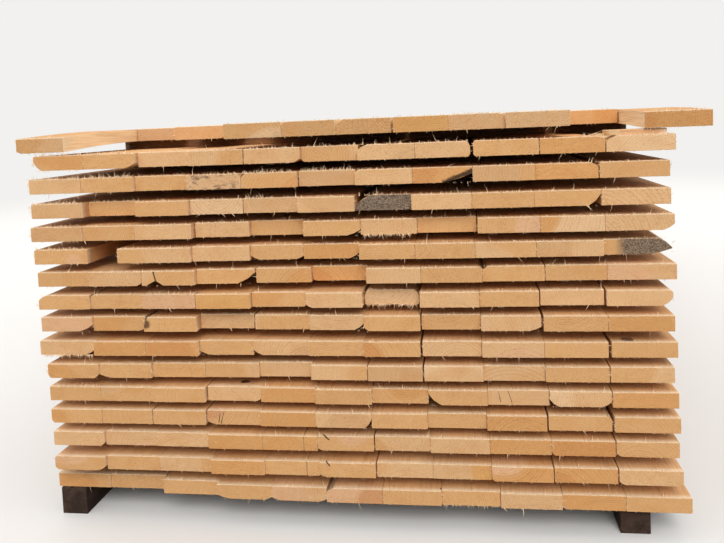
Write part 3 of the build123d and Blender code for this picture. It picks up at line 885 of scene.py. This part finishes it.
def fringe(course, ends, sign):
    """All the torn fibres along the arrises of the board ends of a course. sign is -1 for front ends
    and 1 for rear ones."""
    rows = []
    is_top = course == len(courses)
    for board, (left, right, plane, low, high, _) in enumerate(ends, start=1):
        raised = course in FUZZY_COURSES and board <= FUZZY_BOARDS
        upper, lower = FUZZ_OF.get((course, board), RAISED_FUZZ if raised else USUAL_FUZZ)
        if sign > 0:
            upper, lower = USUAL_FUZZ
        y = plane - sign * BEHIND_END
        for amount, level, rise in ((upper, high, 1.0), (lower, low, -1.0)):
            z = level - rise * ROOT_DEPTH
            line = (left + CORNER_MARGIN, y, z), (right - CORNER_MARGIN, y, z)
            short = SHORT_FIBRE * (LEAST_SHORT + SHORT_GAIN * amount)
            if is_top and rise > 0:
                short = min(short, TOP_FIBRE)
            elif sign < 0:
                rows.append(tuft(*line, (0, LONG_OUTWARD * sign, rise), LONG_PER_MM * amount, LONG_FIBRE))
            rows.append(tuft(*line, (0, SHORT_OUTWARD * sign, rise), SHORT_PER_MM * amount, short))
        side_fuzz = LEFT_SIDE_FUZZ if board == 1 and course in FUZZY_COURSES else USUAL_SIDE_FUZZ
        for edge, amount, out in ((left, side_fuzz, -1.0), (right, USUAL_SIDE_FUZZ, 1.0)):
            x = edge - out * SIDE_ROOT_DEPTH
            line = (x, y, low + SIDE_MARGIN), (x, y, high - SIDE_MARGIN)
            rows.append(tuft(*line, np.multiply(SIDE_WAY, (out, sign, 1.0)), amount, SHORT_FIBRE))
        if sign < 0:
            rows.extend(splinter_rows(SPLINTERS.get((course, board), ()), left, plane, low, high))
    return [np.concatenate(part) for part in zip(*rows)]


def seen_directly(add):
    """1 for rays that show the floor and the surround as such, straight, mirrored or through glass, and
    0 for those that carry their light to the stack."""
    paths = add("LightPath")
    shown = add("Math MAXIMUM", paths["Is Camera Ray"], paths["Is Glossy Ray"])[0]
    return add("Math MAXIMUM", shown, paths["Is Transmission Ray"])[0]


def make_floor():
    """A plain pale matt floor that fades into the surround."""
    material, add = new_material("pale_studio_floor")
    seen = seen_directly(add)
    away = add("VectorMath LENGTH", add("TexCoord")["Object"])["Value"]
    faded = add("Math MULTIPLY", add("MapRange", away, *FLOOR_FADE, **SMOOTH)[0], seen)[0]
    ground = add("Mix", {0: seen, 6: FLOOR_BOUNCE, 7: FLOOR_COLOUR}, **COLOURS)[2]
    matt = add("BsdfDiffuse", ground)[0]
    plain = add("Emission", SURROUND)[0]
    add("OutputMaterial", add("MixShader", faded, matt, plain)[0])
    mesh = bpy.data.meshes.new("floor")
    corners = [(x * FLOOR_REACH, y * FLOOR_REACH, 0) for x, y in ((-1, -1), (1, -1), (1, 1), (-1, 1))]
    mesh.from_pydata(corners, [], [(0, 1, 2, 3)])
    mesh.materials.append(material)
    floor = bpy.data.objects.new("floor", mesh)
    bpy.context.scene.collection.objects.link(floor)


def make_surround():
    """Even white light from all around, which is seen as a plain pale surround."""
    world = bpy.data.worlds.new("studio")
    world.use_nodes = True
    world.node_tree.nodes.clear()
    add = functools.partial(add_node, world.node_tree)
    light = add("Background", WHITE, SKY_STRENGTH)[0]
    surround = add("Background", SURROUND, 1.0)[0]
    add("OutputWorld", add("MixShader", seen_directly(add), light, surround)[0])
    bpy.context.scene.world = world


def make_key():
    """One broad soft lamp, high in front."""
    lamp = bpy.data.lights.new("key", "SUN")
    lamp.energy = KEY_STRENGTH
    lamp.angle = KEY_ANGLE
    key = bpy.data.objects.new("key", lamp)
    key.rotation_euler = Vector(KEY_FROM).to_track_quat("Z", "Y").to_euler()
    bpy.context.scene.collection.objects.link(key)


bpy.context.scene.view_settings.view_transform = "Standard"
make_camera()
make_floor()
make_surround()
make_key()

board_wood = sawn_wood("rough_sawn_spruce")
# the top course's upright long faces are painted near white: painted light on the sides that catch the sky
top_course_wood = sawn_wood("rough_sawn_spruce_top_course", side_colour="#FFE2B5")
# the laths' upright long faces are painted dark brown: painted shade, as they lie deep between the courses
lath_wood = sawn_wood("rough_sawn_spruce_laths", along="X", side_colour="#5A3C26")
offcut_wood = sawn_wood("rough_sawn_spruce_offcut", along="X", side_colour="#E6B88C")
fibre_wood = torn_fibre()

for course, node in enumerate(courses, start=1):
    wood = top_course_wood if course == len(courses) else board_wood
    points, solids = make_wood(node, "boards_%02d" % course, wood, course)
    for side, sign in (("front", -1.0), ("rear", 1.0)):
        ends = board_ends(points, solids, front=sign < 0)
        needles("fibres_%s_%02d" % (side, course), *fringe(course, ends, sign), fibre_wood)
for node in lath_lines:
    make_wood(node, node + "_wood", lath_wood, axes=(1, 0, 2))
make_wood("lath_offcut", "lath_offcut_wood", offcut_wood, axes=(1, 0, 2))
for group, along in ((bearers, "X"), (runners, "Y")):
    timber = weathered_timber(along)
    for node in group:
        nodes[node].data.materials.clear()
        nodes[node].data.materials.append(timber)

bpy.context.view_layer.update()
